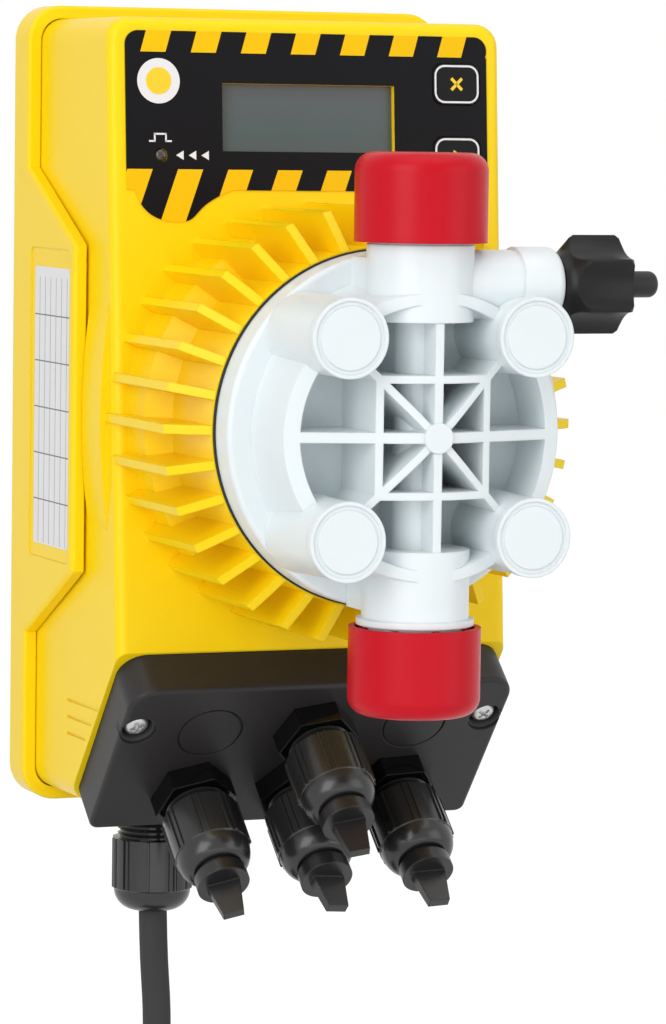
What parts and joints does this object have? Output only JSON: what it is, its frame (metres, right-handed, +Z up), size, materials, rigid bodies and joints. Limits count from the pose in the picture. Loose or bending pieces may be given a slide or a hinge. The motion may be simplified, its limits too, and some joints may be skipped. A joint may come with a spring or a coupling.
{
  "type": "diaphragm metering pump",
  "caption": "Wall-mounted solenoid diaphragm dosing pump with a finned drive, ribbed liquid end, capped ports, keypad and display, cable glands and a coiled mains lead.",
  "frame": {"origin": "on the wall face of the rear housing, in the middle of its width and level with the pump head's axis", "axes": "+X to the right seen from the front, +Y into the wall, +Z up"},
  "size_m": [0.1275, 0.1516, 0.468],
  "materials": {
    "black_pp": "moulded glass-filled polypropylene, fine matt grain",
    "yellow_pp": "moulded glass-filled polypropylene, satin",
    "white_pvdf": "natural PVDF, slightly translucent satin",
    "red_pe": "red polyethylene transport cap",
    "black_pa": "black polyamide cable gland, glossy",
    "black_plug": "black polyamide blanking plug",
    "black_label": "printed polyester front film",
    "display_glass": "clear window over a yellow-green liquid crystal display",
    "black_key": "black key with a printed outline",
    "red_lens": "red LED lens",
    "green_board": "printed circuit board",
    "steel": "zinc-plated or stainless steel",
    "winding": "enamelled copper winding in a bobbin",
    "ptfe": "PTFE-faced diaphragm",
    "black_rubber": "elastomer seal",
    "ceramic": "ceramic valve ball",
    "lead_pvc": "black flexible PVC sheath",
    "brass_pin": "plated plug pins",
    "grey_terminal": "terminal block body"
  },
  "bodies": {
    "pump": {"bolt_caps": "white_pvdf", "control_board": "green_board", "cord_coil": "lead_pvc", "cord_tie": "lead_pvc", "diaphragm": "ptfe", "discharge_cage": "white_pvdf", "discharge_seat": "white_pvdf", "display_module": "green_board", "display_window": "display_glass", "front_housing": "yellow_pp", "gland_body_left": "black_pa", "gland_body_middle": "black_pa", "gland_body_right": "black_pa", "gland_body_upper": "black_pa", "gland_locknuts": "black_pa", "gland_nut_left": "black_pa", "gland_nut_middle": "black_pa", "gland_nut_right": "black_pa", "gland_nut_upper": "black_pa", "gland_plug_left": "black_plug", "gland_plug_middle": "black_plug", "gland_plug_right": "black_plug", "gland_plug_upper": "black_plug", "head_gasket": "black_rubber", "head_screws": "steel", "housing_screws": "steel", "mains_gland_body": "black_pa", "mains_gland_nut": "black_pa", "mains_plug": "lead_pvc", "panel_overlay": "black_label", "plug_lead": "lead_pvc", "plug_pins": "brass_pin", "power_cord": "lead_pvc", "pump_head": "white_pvdf", "rear_housing": "yellow_pp", "return_spring": "steel", "solenoid_coil": "winding", "solenoid_yoke": "steel", "status_led": "red_lens", "suction_cage": "white_pvdf", "suction_seat": "white_pvdf", "support_plate": "black_pp", "terminal_block": "grey_terminal", "terminal_cover": "black_pp", "terminal_cover_screws": "steel", "terminal_seal": "black_rubber", "valve_seals": "black_rubber", "vent_sleeve": "white_pvdf"},
    "drive": {"plunger": "steel"},
    "discharge_valve_ball": {"discharge_ball": "ceramic"},
    "suction_valve_ball": {"suction_ball": "ceramic"},
    "escape_button": {"escape_key": "black_key"},
    "start_button": {"start_key": "black_key"},
    "down_button": {"down_key": "black_key"},
    "up_button": {"up_key": "black_key"},
    "needle": {"vent_needle": "white_pvdf"},
    "knob": {"vent_knob": "black_pp", "bleed_nozzle": "black_pp"},
    "upper_cap": {"discharge_cap": "red_pe"},
    "lower_cap": {"suction_cap": "red_pe"}
  },
  "joints": [
    {"name": "plunger_stroke", "type": "slide", "parent": "pump", "child": "drive", "axis": [0, -1, 0], "range_m": [0, 0.00125], "stiffness_N_per_m": 2000, "deforming": ["return_spring", "diaphragm"]},
    {"name": "discharge_ball_lift", "type": "slide", "parent": "pump", "child": "discharge_valve_ball", "axis": [0, 0, 1], "range_m": [0, 0.0015]},
    {"name": "suction_ball_lift", "type": "slide", "parent": "pump", "child": "suction_valve_ball", "axis": [0, 0, 1], "range_m": [0, 0.0015]},
    {"name": "escape_press", "type": "slide", "parent": "pump", "child": "escape_button", "axis": [0, 0.9974, -0.0718], "range_m": [0, 0.0005], "stiffness_N_per_m": 400},
    {"name": "start_press", "type": "slide", "parent": "pump", "child": "start_button", "axis": [0, 0.9974, -0.0718], "range_m": [0, 0.0005], "stiffness_N_per_m": 400},
    {"name": "down_press", "type": "slide", "parent": "pump", "child": "down_button", "axis": [0, 0.9974, -0.0718], "range_m": [0, 0.0005], "stiffness_N_per_m": 400},
    {"name": "up_press", "type": "slide", "parent": "pump", "child": "up_button", "axis": [0, 0.9974, -0.0718], "range_m": [0, 0.0005], "stiffness_N_per_m": 400},
    {"name": "vent_lift", "type": "slide", "parent": "pump", "child": "needle", "axis": [1, 0, 0], "range_m": [0, 0.0005]},
    {"name": "vent_turn", "type": "hinge", "parent": "needle", "child": "knob", "pos_m": [0.045, -0.1355, 0.0363], "axis": [1, 0, 0], "range_deg": [0, 180]},
    {"name": "discharge_cap_pull", "type": "slide", "parent": "pump", "child": "upper_cap", "axis": [0, 0, 1], "range_m": [0, 0.03]},
    {"name": "suction_cap_pull", "type": "slide", "parent": "pump", "child": "lower_cap", "axis": [0, 0, -1], "range_m": [0, 0.03]}
  ],
  "couplings": [
    {"joint": "vent_lift", "follows": "vent_turn", "m_per_rad": 0.00015915}
  ]
}
